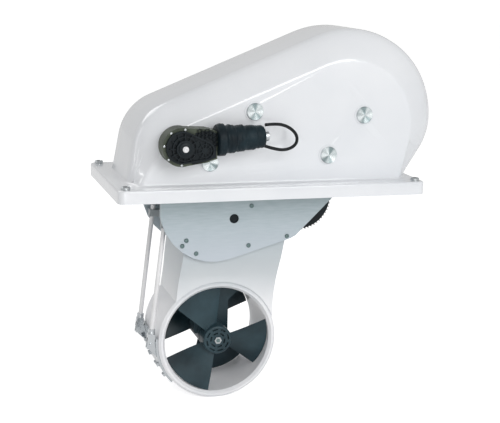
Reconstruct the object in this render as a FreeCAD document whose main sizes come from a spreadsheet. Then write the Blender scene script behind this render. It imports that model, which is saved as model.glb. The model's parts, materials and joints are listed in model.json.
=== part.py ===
import FreeCAD, Part
import math
import os
import re
from types import SimpleNamespace

# Retracting bow thruster. Millimetres. X runs along the flange, +Y away from the actuator side, +Z up.
# The origin is the centre of the flange's underside. The thruster is modelled deployed.

Vector = FreeCAD.Vector
Rotation = FreeCAD.Rotation
Placement = FreeCAD.Placement

doc = FreeCAD.newDocument("BowThruster")

# ---------------------------------------------------------------- driving sizes
sizes = {
    # hull flange
    "flangeLength": 524, "flangeWidth": 280, "flangeThick": 21.5, "flangeCorner": 12,
    "holePitchX": 496, "holePitchY": 252, "boltBore": 4.25, "bushRadius": 7.25, "bushStand": 5,
    # moulded housing
    "wall": 6, "panelHalf": 107, "ridgeHalf": 72, "panelInset": 40,
    "leftFoot": 236, "rightFoot": 251, "panelLeftFoot": 222, "panelRightFoot": 226,
    "noseX": 136.6, "noseZ": 69, "noseRadius": 90,
    "roundX": 146, "roundZ": 120, "roundRadius": 152, "tailRadius": 93,
    "panelRoundX": 131, "panelRoundZ": 111, "panelTailRadius": 108,
    # frame bolts, counted from the left
    "boltAX": -107, "boltAZ": 58, "boltBX": -33, "boltBZ": 140,
    "boltCX": 97, "boltCZ": 66, "boltDX": 158, "boltDZ": 132,
    "capRadius": 14, "capThick": 3, "frameBoltRadius": 4, "spacerRadius": 5.6,
    # swing pivot and fixed cheeks
    "pivotX": -54, "pivotZ": -44, "pinRadius": 10, "pinBore": 8, "pinInner": 38, "bushWall": 3,
    "cheekInner": 58, "cheekThick": 6, "cheekEye": 24, "fitGap": 0.05,
    # swinging side plates and gear
    "plateInner": 66, "plateThick": 8, "gearModule": 4, "pinionTeeth": 12, "quadrantTeeth": 72,
    "pressureAngle": 25, "meshAngle": 128.45, "toothSlack": 0.35, "sightHole": 8,
    # leg and tunnel
    "tunnelX": -74.7, "tunnelZ": -259.8, "tunnelBore": 92.5, "tunnelWall": 11, "tunnelHalf": 61.4,
    "legHalf": 57, "legWall": 6, "shoulderTop": -86, "shoulderFoot": -205,
    "podRadius": 25, "podHalf": 26, "strutHalf": 15, "slotHalf": 9, "neckHalf": 30, "neckStand": 6.3,
    # motor and belts
    "motorX": 70, "motorZ": -17, "motorRadius": 54, "motorRib": 2.5, "motorLength": 76, "motorShaft": 6,
    "motorScrewCircle": 40,
    "jackX": -66, "jackZ": -112, "jackRadius": 6, "motorPulley": 14, "jackPulley": 18,
    "drivePulley": 15, "beltThick": 3, "beltWidth": 12, "beltGap": 0.1, "upperBeltY": 36,
    # propellers
    "propShaft": 6, "propRadius": 91.5, "propOffset": 45, "hubRadius": 25, "hubLength": 30,
    "bladeThick": 3.2, "bladeAngle": 58, "studRadius": 3, "studLength": 8, "nutRadius": 6.5,
    # actuator
    "actuatorFace": 112, "gearboxDepth": 32, "lobeRadius": 31, "lobeAcross": 32.4677, "lobeDrop": 3.5694,
    "smallLobe": 20, "outputShaft": 9, "sleeveStart": 21, "sleeveLength": 80, "sleeveY": -135,
    "leadRadius": 2.6,
    # closure rods
    "rodRadius": 4, "rodHalf": 47, "rodTopX": -166, "rodTopZ": -40, "lugStand": 12.3, "lugDrop": 2.2,
}
sheet = doc.addObject("Spreadsheet::Sheet", "Sizes")
for row, (alias, number) in enumerate(sizes.items(), start=1):
    sheet.set(f"A{row}", alias)
    sheet.set(f"B{row}", str(number))
    sheet.setAlias(f"B{row}", alias)
doc.recompute()
d = SimpleNamespace(**{alias: float(sheet.get(alias)) for alias in sizes})

AXES = {"x": Rotation(Vector(0, 1, 0), 90), "y": Rotation(Vector(1, 0, 0), -90), "z": Rotation()}
nodes = []


# ---------------------------------------------------------------- helpers
def fromSheet(text):
    """Turn 'panelHalf + 2' into an expression on the sheet."""
    return re.sub(r"[A-Za-z]\w*", lambda word: "Sizes." + word.group(), text)


def bind(item, **expressions):
    for path, text in expressions.items():
        item.setExpression(path.replace("_", "."), fromSheet(text))
    return item


def rod(radius, length, x, y, z, axis="y"):
    """A cylinder whose sizes and place follow the sheet; it runs from y (or x, z) along its axis."""
    item = doc.addObject("Part::Cylinder", "Rod")
    item.Placement = Placement(Vector(), AXES[axis])
    return bind(item, Radius=radius, Height=length, Placement_Base_x=x, Placement_Base_y=y,
                Placement_Base_z=z)


def cut(base, tool):
    item = doc.addObject("Part::Cut", "Cut")
    item.Base, item.Tool = base, tool
    return item


def fuse(items):
    item = doc.addObject("Part::MultiFuse", "Fuse")
    item.Shapes = items
    return item


def group(items):
    item = doc.addObject("Part::Compound", "Group")
    item.Links = items
    return item


def feature(shape):
    item = doc.addObject("Part::Feature", "Form")
    item.Shape = shape
    return item


def tube(outer, inner, length, x, y, z, axis="y"):
    return cut(rod(outer, length, x, y, z, axis), rod(inner, length, x, y, z, axis))


def node(label, item):
    item.Label = label
    nodes.append(item)
    return item


def pin(radius, y0, y1, x, z):
    """A plain cylinder shape along Y."""
    return Part.makeCylinder(radius, y1 - y0, Vector(x, y0, z), Vector(0, 1, 0))


def ring(outer, inner, y0, y1, x, z):
    return pin(outer, y0, y1, x, z).cut(pin(inner, y0, y1, x, z))


def wireXZ(points, y):
    return Part.makePolygon([Vector(x, y, z) for x, z in points + points[:1]])


def slab(points, y0, y1):
    """A flat piece with this XZ outline between two Y values."""
    return Part.Face(wireXZ(points, y0)).extrude(Vector(0, y1 - y0, 0))


def polar(centre, radius, angle):
    turn = math.radians(angle)
    return centre[0] + radius * math.cos(turn), centre[1] + radius * math.sin(turn)


def vectorXZ(point, y):
    return Vector(point[0], y, point[1])


def arcXZ(centre, radius, start, end, y):
    ends = [vectorXZ(polar(centre, radius, a), y) for a in (start, (start + end) / 2, end)]
    return Part.Arc(*ends).toShape()


def tangentAngle(point, centre, radius, side):
    """The angle on a circle where the tangent from a point outside touches it."""
    dx, dz = point[0] - centre[0], point[1] - centre[1]
    spread = math.degrees(math.acos(radius / math.hypot(dx, dz)))
    return math.degrees(math.atan2(dz, dx)) + side * spread


def revolved(points, centre):
    """Turn a (radius, y) outline round the Y axis through centre."""
    corners = [Vector(centre[0] + r, y, centre[1]) for r, y in points + points[:1]]
    return Part.Face(Part.makePolygon(corners)).revolve(Vector(centre[0], 0, centre[1]), Vector(0, 1, 0), 360)


pivot = (d.pivotX, d.pivotZ)
tunnel = (d.tunnelX, d.tunnelZ)
motor = (d.motorX, d.motorZ)
jack = (d.jackX, d.jackZ)
bolts = {"A": (d.boltAX, d.boltAZ), "B": (d.boltBX, d.boltBZ),
         "C": (d.boltCX, d.boltCZ), "D": (d.boltDX, d.boltDZ)}
centreDistance = d.gearModule * (d.pinionTeeth + d.quadrantTeeth) / 2
output = polar(pivot, centreDistance, d.meshAngle)


# ---------------------------------------------------------------- moulded housing
def between(start, end, share):
    return start + (end - start) * share


def housingWire(y, share, shrink, floor):
    """Side outline: foot, nose arc, sloping top, big round end, tail arc, foot.

    A share of 0 is the outline of the ridge, and 1 that of the flat side panel."""
    nose, noseR = (-d.noseX, d.noseZ), d.noseRadius - d.panelInset * share - shrink
    big = between(d.roundX, d.panelRoundX, share), between(d.roundZ, d.panelRoundZ, share)
    bigR = between(d.roundRadius, d.roundRadius - d.panelInset + 1, share)
    tailR = between(d.tailRadius, d.panelTailRadius, share)
    tail = (big[0] + bigR - tailR, big[1])
    bigR, tailR = bigR - shrink, tailR - shrink
    left = -between(d.leftFoot, d.panelLeftFoot, share) + shrink
    right = between(d.rightFoot, d.panelRightFoot, share) - shrink
    span = math.hypot(big[0] - nose[0], big[1] - nose[1])
    lean = math.degrees(math.atan2(big[1] - nose[1], big[0] - nose[0]))
    slope = lean + math.degrees(math.acos((noseR - bigR) / span))
    noseStart = tangentAngle((left, d.flangeThick), nose, noseR, -1) % 360
    tailEnd = (tangentAngle((right, d.flangeThick), tail, tailR, 1) + 180) % 360 - 180
    corners = [(left, floor), (left, d.flangeThick), polar(nose, noseR, noseStart),
               polar(nose, noseR, slope), polar(big, bigR, slope), polar(big, bigR, 0),
               polar(tail, tailR, tailEnd), (right, d.flangeThick), (right, floor)]
    v = [vectorXZ(corner, y) for corner in corners]
    edges = [Part.makeLine(v[0], v[1]), Part.makeLine(v[1], v[2]), arcXZ(nose, noseR, noseStart, slope, y),
             Part.makeLine(v[3], v[4]), arcXZ(big, bigR, slope, 0, y), arcXZ(tail, tailR, 0, tailEnd, y),
             Part.makeLine(v[6], v[7]), Part.makeLine(v[7], v[8]), Part.makeLine(v[8], v[0])]
    return Part.Wire(edges)


def housingForm(shrink, floor):
    """The teardrop form; shrink moves every face inwards, for the cavity."""
    bend = shrink * math.tan(math.radians(22.5))
    band = d.panelHalf - d.ridgeHalf
    stations = [(d.ridgeHalf - 0.45 * band, 0)]
    shoulders = ((-0.2, 0.025), (0, 0.1), (0.22, 0.25), (0.46, 0.46))
    stations += [(d.ridgeHalf + step * band, share) for step, share in shoulders]
    wires = []
    for y, share in stations:
        wires.append(housingWire(y - bend, share, between(shrink, bend, share), floor))
    wires.append(housingWire(d.panelHalf - shrink, 1, bend, floor))
    back = []
    for y, share in stations:
        back.append(housingWire(bend - y, share, between(shrink, bend, share), floor))
    back.append(housingWire(shrink - d.panelHalf, 1, bend, floor))
    back.reverse()
    return Part.makeLoft(back + wires, True, True)


def outlineEdges(shape, y, above):
    """The edges that lie in the plane at this |Y|, above a height."""
    found = []
    for edge in shape.Edges:
        box = edge.BoundBox
        inPlane = abs(abs(box.YMin) - y) < 0.01 and abs(abs(box.YMax) - y) < 0.01
        if inPlane and box.YMax * box.YMin > 0 and box.ZMax > above:
            found.append(edge)
    return found


def housingShell():
    form = housingForm(0, 0)
    form = form.makeFillet(9, outlineEdges(form, d.panelHalf, 1))
    flange = Part.makeBox(d.flangeLength, d.flangeWidth, d.flangeThick,
                          Vector(-d.flangeLength / 2, -d.flangeWidth / 2, 0))
    upright = [e for e in flange.Edges if e.BoundBox.ZLength > d.flangeThick / 2]
    flange = flange.makeFillet(d.flangeCorner, upright)
    rim = [e for e in flange.Edges if e.BoundBox.ZMin > d.flangeThick - 0.1]
    flange = flange.makeFillet(3, rim)
    form = form.fuse(flange).removeSplitter()
    for x, z in bolts.values():
        form = form.fuse([pin(d.capRadius + 3, -d.panelHalf - 1, -d.panelHalf + 1, x, z),
                          pin(d.capRadius + 3, d.panelHalf - 1, d.panelHalf + 1, x, z)])
    form = form.fuse(pin(24, -d.actuatorFace, -d.panelHalf + 12, *output))
    form = form.cut(housingForm(d.wall, -1))
    drills = [Part.makeCylinder(d.bushRadius, 30, Vector(sx * d.holePitchX / 2, sy * d.holePitchY / 2, -1))
              for sx in (-1, 1) for sy in (-1, 1)]
    drills += [pin(d.frameBoltRadius, -120, 120, x, z) for x, z in bolts.values()]
    drills.append(pin(d.outputShaft + 4, -120, -80, *output))
    drills += [pin(d.capRadius, -d.actuatorFace - 1, -d.panelHalf - 1, x, z) for x, z in bolts.values()]
    return form.cut(drills)


housing = node("housing_shell", feature(housingShell()))

bushes = []
for sx in (-1, 1):
    for sy in (-1, 1):
        x, y = f"{sx} * holePitchX / 2", f"{sy} * holePitchY / 2"
        bushes.append(tube("bushRadius", "boltBore", "flangeThick + bushStand", x, y, "0", "z"))
node("flange_bushes", group(bushes))

# ---------------------------------------------------------------- frame that hangs in the housing
caps, boltRods, spacers = [], [], []
for name in bolts:
    x, z = f"bolt{name}X", f"bolt{name}Z"
    reachesCheek = name != "A"
    for side in (-1, 1):
        face = "panelHalf + 1"
        start = f"-({face}) - capThick" if side < 0 else face
        caps.append(rod("capRadius", "capThick", x, start, z))
        inner = "cheekInner" if reachesCheek else "panelHalf - 12"
        length = f"{face} - ({inner})"
        start = f"-({face})" if side < 0 else inner
        boltRods.append(rod("frameBoltRadius", length, x, start, z))
        if reachesCheek:
            gap = "panelHalf - wall - cheekInner - cheekThick"
            start = "-(panelHalf - wall)" if side < 0 else "cheekInner + cheekThick"
            spacers.append(tube("spacerRadius", "frameBoltRadius", gap, x, start, z))
        else:
            start = "-(panelHalf - wall)" if side < 0 else "panelHalf - wall - 6"
            spacers.append(tube("spacerRadius", "frameBoltRadius", "6", x, start, z))
node("panel_caps", group(caps))
node("frame_bolts", group(boltRods))
node("frame_spacers", group(spacers))


def sketchPad(label, points, holes, thickness, y0, rounding):
    """A plate from a sketched XZ outline with round holes, padded along Y, as a PartDesign body."""
    body = doc.addObject("PartDesign::Body", label)
    plane = [o for o in body.Origin.OriginFeatures if o.Role == "XZ_Plane"][0]
    sketch = body.newObject("Sketcher::SketchObject", label + "Outline")
    sketch.AttachmentSupport = [(plane, "")]
    sketch.MapMode = "FlatFace"
    for index, (x, z) in enumerate(points):
        nextX, nextZ = points[(index + 1) % len(points)]
        sketch.addGeometry(Part.LineSegment(Vector(x, z, 0), Vector(nextX, nextZ, 0)))
    for x, z, radius in holes:
        sketch.addGeometry(Part.Circle(Vector(x, z, 0), Vector(0, 0, 1), radius))
    pad = body.newObject("PartDesign::Pad", label + "Pad")
    pad.Profile = sketch
    pad.setExpression("Length", fromSheet(thickness))
    doc.recompute()
    corners = [f"Edge{n + 1}" for n, e in enumerate(pad.Shape.Edges)
               if e.BoundBox.YLength > 1 and len(e.Vertexes) == 2 and e.Curve.TypeId == "Part::GeomLine"]
    soft = body.newObject("PartDesign::Fillet", label + "Corners")
    soft.Base = (pad, corners)
    soft.Radius = rounding
    doc.recompute()
    reach = soft.Shape.BoundBox
    body.Placement.Base = Vector(0, y0 + (reach.YLength if reach.YMin < -1 else 0), 0)
    return body


cheekOutline = [(d.pivotX - d.cheekEye, d.pivotZ - 14), (d.pivotX - 8, d.pivotZ - d.cheekEye),
                (d.pivotX + 8, d.pivotZ - d.cheekEye), (d.pivotX + 16, d.pivotZ - 12),
                (d.pivotX + 14, d.boltCZ), (d.boltCX - 10, d.boltCZ - 16), (d.boltCX + 14, d.boltCZ - 10),
                (d.boltDX + 15, d.boltDZ - 8), (d.boltDX + 8, d.boltDZ + 15), (d.boltBX + 10, d.boltBZ + 17),
                (d.boltBX - 22, d.boltBZ + 12), (d.pivotX - 34, d.boltAZ), (d.pivotX - 30, d.pivotZ + 30)]
cheekHoles = [(d.pivotX, d.pivotZ, d.pinRadius)]
cheekHoles += [(*bolts[name], d.frameBoltRadius) for name in "BCD"]
cheekHoles += [((d.boltBX + d.boltDX) / 2, d.boltDZ - 8, 16),
               ((d.boltBX + d.boltCX) / 2 - 20, d.boltBZ - 40, 14)]
node("frame_cheek_near", sketchPad("CheekNear", cheekOutline, cheekHoles, "cheekThick",
                                   -d.cheekInner - d.cheekThick, 5))
node("frame_cheek_far", sketchPad("CheekFar", cheekOutline, cheekHoles, "cheekThick", d.cheekInner, 5))

pinEnd = "cheekInner + cheekThick + 1"
pinLength = f"{pinEnd} - pinInner"
node("pivot_pins", group([
    tube("pinRadius", "pinBore - 2", pinLength, "pivotX", f"-({pinEnd})", "pivotZ"),
    tube("pinRadius", "pinBore - 2", pinLength, "pivotX", "pinInner", "pivotZ")]))

# ---------------------------------------------------------------- swinging side plates
root = d.gearModule * d.quadrantTeeth / 2 - d.gearModule


def involute(base, radius):
    """Polar angle, in degrees, of an involute from this base circle at this radius."""
    if radius <= base:
        return 0.0
    roll = math.sqrt((radius / base) ** 2 - 1)
    return math.degrees(roll - math.atan(roll))


def toothOutline(teeth, slack):
    """Half a tooth as (radius, angle from the tooth's middle), from the root to the tip."""
    pitch = d.gearModule * teeth / 2
    base = pitch * math.cos(math.radians(d.pressureAngle))
    tip = pitch + 0.8 * d.gearModule
    half = 90 / teeth - math.degrees(slack / 2 / pitch) + involute(base, pitch)
    start = pitch - d.gearModule
    radii = [start] + [max(base, start) + (tip - max(base, start)) * k / 3 for k in range(4)]
    return [(r, half - involute(base, r)) for r in radii]


def gearPoints(centre, teeth, slack, first, count, phase):
    """Outline points of a run of teeth; tooth 0 is centred on the phase angle."""
    step = 360 / teeth
    flank = toothOutline(teeth, slack)
    points = []
    for k in range(first, first + count):
        middle = phase + k * step
        points += [polar(centre, r, middle - a) for r, a in flank]
        points += [polar(centre, r, middle + a) for r, a in reversed(flank)]
    return points


screwSpots = [(-136, -78), (-143, -87), (-119, -101), (-28, -91), (40, -78)]
bushScrew = (-24, -23)


def plateOutline(toothed):
    """Lower rim, slanted right edge, quadrant and left edge, clockwise from the tip on the right."""
    lower = (-86, -22)
    rim = [polar(lower, 95, a) for a in (285, 272, 259, 246, 233, 220, 207, 195)]
    left = [(-180, -37), (-180, -2), (-174, 20)]
    right = [(121, -13), (66, -67), (56, -77), (47, -82), (37, -85)]
    if toothed:
        arc = gearPoints(pivot, int(d.quadrantTeeth), d.toothSlack, -19, 21, d.meshAngle)
        arc.reverse()
        crown = [polar(pivot, root, d.meshAngle + 9)] + arc + [polar(pivot, root, d.meshAngle - 98)]
    else:
        crown = [polar(pivot, root, a) for a in range(137, 29, -9)]
    return right + rim + left + crown


def sidePlate(y0, toothed):
    plate = slab(plateOutline(toothed), y0, y0 + d.plateThick)
    windows = [pin(17, y0 - 1, y0 + d.plateThick + 1, *polar(pivot, 98, a)) for a in (52, 84, 116)]
    drills = [pin(2.5, y0 - 1, y0 + d.plateThick + 1, x, z) for x, z in screwSpots + [bushScrew]]
    return plate.cut(windows + drills + [pin(d.sightHole, y0 - 1, y0 + d.plateThick + 1, *pivot)])


node("near_side_plate", feature(sidePlate(-d.plateInner - d.plateThick, True)))
node("far_side_plate", feature(sidePlate(d.plateInner, False)))

plateScrews = []
for x, z in screwSpots:
    for side in (-1, 1):
        head, tip = d.plateInner + d.plateThick, d.plateInner - 8
        shank = pin(2.5, *sorted((side * tip, side * head)), x, z)
        cap = pin(4, *sorted((side * head, side * (head + 2))), x, z)
        plateScrews.append(shank.fuse(cap))
for side in (-1, 1):
    head = d.plateInner + d.plateThick
    shank = pin(2.5, *sorted((side * d.plateInner, side * head)), *bushScrew)
    plateScrews.append(shank.fuse(pin(4, *sorted((side * head, side * (head + 2))), *bushScrew)))
node("plate_screws", feature(Part.makeCompound(plateScrews)))

# ---------------------------------------------------------------- leg casting with the tunnel
motorStart = -d.legHalf + d.legWall
motorEnd = motorStart + d.motorLength
motorScrewSpots = [polar(motor, d.motorScrewCircle, angle) for angle in (30, 100, 170, 240)]
legOutline = [(39, -87), (32, -126), (25, -175), (23, -195), (22, -230), tunnel, (-160, -240), (-150, -195),
              (-138, -100), (-128, -48), (-96, -16), (-20, -12), (10, -24), (30, -50)]
legInner = [(32, -90), (25, -128), (14, -175), (-144, -175), (-131, -100), (-121, -50), (-92, -22),
            (-90, 20), (30, 20), (60, -30)]


def beltLoop(y, a, radiusA, b, radiusB, offset, width):
    """The closed outline round two pulleys, this far from their rims, as a solid."""
    ra, rb = radiusA + offset, radiusB + offset
    lean = math.degrees(math.atan2(b[1] - a[1], b[0] - a[0]))
    spread = math.degrees(math.acos((ra - rb) / math.hypot(b[0] - a[0], b[1] - a[1])))
    y0 = y - width / 2
    up, down = lean + spread, lean - spread
    edges = [arcXZ(a, ra, up, down + 360, y0),
             Part.makeLine(vectorXZ(polar(a, ra, down), y0), vectorXZ(polar(b, rb, down), y0)),
             arcXZ(b, rb, down, up, y0),
             Part.makeLine(vectorXZ(polar(b, rb, up), y0), vectorXZ(polar(a, ra, up), y0))]
    return Part.Face(Part.Wire(edges)).extrude(Vector(0, width, 0))


outerRing = d.tunnelBore + d.tunnelWall
neckTop = d.tunnelZ + outerRing + d.neckStand
slot = beltLoop(0, jack, d.drivePulley, tunnel, d.drivePulley, d.beltThick + 1.2, 2 * d.slotHalf)
neck = Part.makeBox(2 * d.neckHalf, 2 * d.strutHalf, neckTop - d.tunnelZ,
                    Vector(d.tunnelX - d.neckHalf, -d.strutHalf, d.tunnelZ))
strutScrews = [Part.makeCylinder(2.5, 30, Vector(d.tunnelX + x, 0, neckTop - 33)) for x in (-36, 36)]


def shoulder():
    """The lower part of the leg, as wide as the gap between the side plates, drawn in towards the tunnel."""
    wide, narrow = d.plateInner, d.legHalf + 2
    level = (d.shoulderTop + d.shoulderFoot) / 2
    profile = [(wide, d.shoulderTop), (wide, level), (narrow, d.shoulderFoot), (-narrow, d.shoulderFoot),
               (-wide, level), (-wide, d.shoulderTop)]
    corners = [Vector(-200, y, z) for y, z in profile + profile[:1]]
    wedge = Part.Face(Part.makePolygon(corners)).extrude(Vector(300, 0, 0))
    return slab(legOutline, -wide, wide).common(wedge)


def legCasting():
    block = slab(legOutline, -d.legHalf, d.legHalf).fuse(shoulder())
    half = revolved([(0, -d.tunnelHalf), (outerRing, -d.tunnelHalf), (outerRing + 26, -d.legHalf),
                     (outerRing + 26, d.legHalf), (outerRing, d.tunnelHalf), (0, d.tunnelHalf)], tunnel)
    flare = slab(legOutline, -d.tunnelHalf + 0.4, d.tunnelHalf - 0.4)
    body = block.fuse(flare.common(half)).cut(slab(legInner, -d.legHalf + d.legWall, d.legHalf - d.legWall))
    body = body.cut(pin(outerRing, -d.plateInner - 1, d.plateInner + 1, *tunnel))
    motorWall = slab([(10, -24), (30, -50), (39, -82), (47, -78), (63, -64), (112, -14), (104, 30),
                      (70, 44), (36, 30)], -d.legHalf, motorStart)
    bosses = [pin(7, *sorted((s * (d.legHalf - d.legWall), s * d.plateInner)), x, z)
              for x, z in screwSpots for s in (-1, 1)]
    eyes = [pin(d.pinRadius + d.bushWall + 6, *sorted((s * d.pinInner, s * d.legHalf)), *pivot)
            for s in (-1, 1)]
    body = body.cut(pin(d.motorRadius + 2 * d.motorRib, motorStart, d.plateInner, *motor))
    body = body.fuse([motorWall, pin(17, -d.legHalf + 1, -36, *jack), ring(17, 11, 46, d.legHalf - 1, *jack)]
                     + bosses + eyes)
    drills = [pin(d.pinRadius + d.bushWall, *sorted((s * (d.pinInner - 1), s * (d.legHalf + 1))), *pivot)
              for s in (-1, 1)]
    screwDepth = (d.plateInner - 12, d.plateInner + 1)
    drills += [pin(2.5, *sorted(s * depth for depth in screwDepth), x, z)
               for x, z in screwSpots for s in (-1, 1)]
    drills += [pin(11, -d.legHalf + 5, -30, *jack), pin(11, 44, d.legHalf - 5, *jack),
               pin(d.motorShaft + 8, -60, -40, *motor)]
    drills += [pin(2.5, -60, -50, *spot) for spot in motorScrewSpots]
    return body.cut(drills)


node("leg_casting", feature(legCasting()))


def tunnelRing():
    """The short tube round the propellers, with a slot in its roof for the drive leg's neck."""
    lip, half = 4, d.tunnelHalf
    outline = [(d.tunnelBore, -half + 5), (d.tunnelBore + lip, -half), (outerRing - lip, -half),
               (outerRing, -half + lip), (outerRing, half - lip), (outerRing - lip, half),
               (d.tunnelBore + lip, half), (d.tunnelBore, half - 5)]
    return revolved(outline, tunnel).cut([neck] + strutScrews)


node("tunnel_ring", feature(tunnelRing()))


def driveLeg():
    """Flared strut and pod, with a neck that stands up through the roof of the tunnel."""
    narrow, half = d.tunnelZ + 29, 19
    roof = d.tunnelZ + 78
    sides = []
    for s in (1, -1):
        x = [d.tunnelX + s * offset for offset in (half, half, 32, 60)]
        z = [d.tunnelZ + 10, narrow, d.tunnelZ + 59, roof]
        v = [Vector(a, -d.strutHalf, b) for a, b in zip(x, z)]
        sides.append((v, Part.makeLine(v[0], v[1]), Part.Arc(v[1], v[2], v[3]).toShape()))
    (right, r1, r2), (left, l1, l2) = sides
    top = Vector(0, 0, 20)
    edges = [r1, r2, Part.makeLine(right[3], right[3] + top), Part.makeLine(right[3] + top, left[3] + top),
             Part.makeLine(left[3] + top, left[3]), l2, l1, Part.makeLine(left[0], right[0])]
    strut = Part.Face(Part.Wire(Part.__sortEdges__(edges))).extrude(Vector(0, 2 * d.strutHalf, 0))
    strut = strut.common(pin(d.tunnelBore, -d.strutHalf, d.strutHalf, *tunnel))
    body = strut.fuse([neck, pin(d.podRadius, -d.podHalf, d.podHalf, *tunnel)])
    bores = [pin(13, -d.podHalf + 3, d.podHalf - 3, *tunnel), pin(9, -40, 40, *tunnel)]
    return body.cut([slot] + bores + strutScrews)


node("drive_leg", feature(driveLeg()))
node("strut_screws", feature(Part.makeCompound(strutScrews)))

node("pivot_bushes", group([
    tube("pinRadius + bushWall", "pinRadius + fitGap", "legHalf - pinInner", "pivotX", "-legHalf", "pivotZ"),
    tube("pinRadius + bushWall", "pinRadius + fitGap", "legHalf - pinInner", "pivotX", "pinInner", "pivotZ")]))

# ---------------------------------------------------------------- motor


def motorBody():
    can = pin(d.motorRadius, motorStart + 14, motorEnd - 6, *motor)
    ribs = [ring(d.motorRadius + d.motorRib, d.motorRadius - 1,
                 motorStart + 14 + 6 * k, motorStart + 17 + 6 * k, *motor)
            for k in range(9)]
    return can.fuse(ribs).cut(pin(d.motorShaft + 6, motorStart, motorEnd, *motor))


def endBell(y0, y1):
    bell = pin(d.motorRadius, y0, y1, *motor)
    windows = [pin(5, y0 + 3, y1 - 3, *polar(motor, d.motorRadius + 1, a)) for a in range(0, 360, 20)]
    return bell.cut(windows + [pin(d.motorShaft + 2, y0, y1, *motor)])


node("thruster_motor", feature(motorBody()))
node("motor_end_bell", feature(endBell(motorStart, motorStart + 14)))
node("motor_drive_bell", feature(ring(d.motorRadius - 3, d.motorShaft + 2, motorEnd - 6, motorEnd, *motor)))
motorScrews = [pin(2.5, -d.legHalf, motorStart, *spot) for spot in motorScrewSpots]
node("motor_screws", feature(Part.makeCompound(motorScrews)))
studs = []
for y in (-18, 2):
    x, z = motor[0] + 6, motor[1] + d.motorRadius + d.motorRib
    studs.append(Part.makeCylinder(4, 12, Vector(x, y, z), Vector(0, 0, 1)))
    studs.append(Part.makeCylinder(7, 3, Vector(x, y, z + 12), Vector(0, 0, 1)))
node("motor_terminals", feature(Part.makeCompound([studs[0].fuse(studs[1]), studs[2].fuse(studs[3])])))
node("motor_bearings", group([
    tube("motorShaft + 2", "motorShaft + fitGap", "6", "motorX", "-legHalf + legWall + 2", "motorZ"),
    tube("motorShaft + 2", "motorShaft + fitGap", "5", "motorX", "-legHalf + legWall + motorLength - 6", "motorZ")]))

# ---------------------------------------------------------------- belts and pulleys


def pulley(radius, y, centre, bore):
    """A flat belt pulley with a flange at each edge."""
    half = d.beltWidth / 2 + 0.5
    return revolved([(bore, y - half - 2), (radius + 2, y - half - 2), (radius + 2, y - half),
                     (radius, y - half), (radius, y + half), (radius + 2, y + half),
                     (radius + 2, y + half + 2), (bore, y + half + 2)], centre)


def belt(y, a, radiusA, b, radiusB):
    outer = beltLoop(y, a, radiusA, b, radiusB, d.beltGap + d.beltThick, d.beltWidth)
    return outer.cut(beltLoop(y, a, radiusA, b, radiusB, d.beltGap, d.beltWidth))


node("upper_belt", feature(belt(d.upperBeltY, motor, d.motorPulley, jack, d.jackPulley)))
node("lower_belt", feature(belt(0, jack, d.drivePulley, tunnel, d.drivePulley)))

node("rotor_shaft", rod("motorShaft", "motorLength + 22", "motorX", "-legHalf + legWall + 2", "motorZ"))
node("motor_pulley", feature(pulley(d.motorPulley, d.upperBeltY, motor, d.motorShaft)))

node("jack_shaft", rod("jackRadius", "102", "jackX", "-50.5", "jackZ"))
node("jack_pulley", feature(pulley(d.jackPulley, d.upperBeltY, jack, d.jackRadius)))
node("jack_drive_pulley", feature(pulley(d.drivePulley, 0, jack, d.jackRadius)))
node("jack_bearings", group([
    tube("11", "jackRadius + fitGap", "8", "jackX", "-49", "jackZ"),
    tube("11", "jackRadius + fitGap", "7", "jackX", "45", "jackZ")]))

# ---------------------------------------------------------------- propellers
stepAt = "propOffset + hubLength / 2 - 4"
studEnd = f"{stepAt} + studLength"
node("propeller_shaft", fuse([
    rod("propShaft", f"2 * ({stepAt})", "tunnelX", f"-({stepAt})", "tunnelZ"),
    rod("studRadius", f"2 * ({studEnd})", "tunnelX", f"-({studEnd})", "tunnelZ")]))
node("shaft_pulley", feature(pulley(d.drivePulley, 0, tunnel, d.propShaft)))
node("shaft_bearings", group([
    tube("13", "propShaft + fitGap", "8", "tunnelX", "-(podHalf - 4)", "tunnelZ"),
    tube("13", "propShaft + fitGap", "8", "tunnelX", "podHalf - 12", "tunnelZ")]))
node("shaft_seals", group([
    tube("9", "propShaft + fitGap", "3", "tunnelX", "-podHalf", "tunnelZ"),
    tube("9", "propShaft + fitGap", "3", "tunnelX", "podHalf - 3", "tunnelZ")]))


def bladeSection(x, half, thick, twist):
    """A thin lens across the blade, turned by its pitch, at a distance from the shaft."""
    turn = Rotation(Vector(0, 0, 1), twist)
    ends = [Vector(-half, 0, 0), Vector(0, thick / 2, 0), Vector(half, 0, 0), Vector(0, -thick / 2, 0)]
    a, top, b, bottom = [turn.multVec(v) for v in ends]
    wire = Part.Wire([Part.Arc(a, top, b).toShape(), Part.Arc(b, bottom, a).toShape()])
    wire.translate(Vector(0, 0, x))
    return wire


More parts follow.
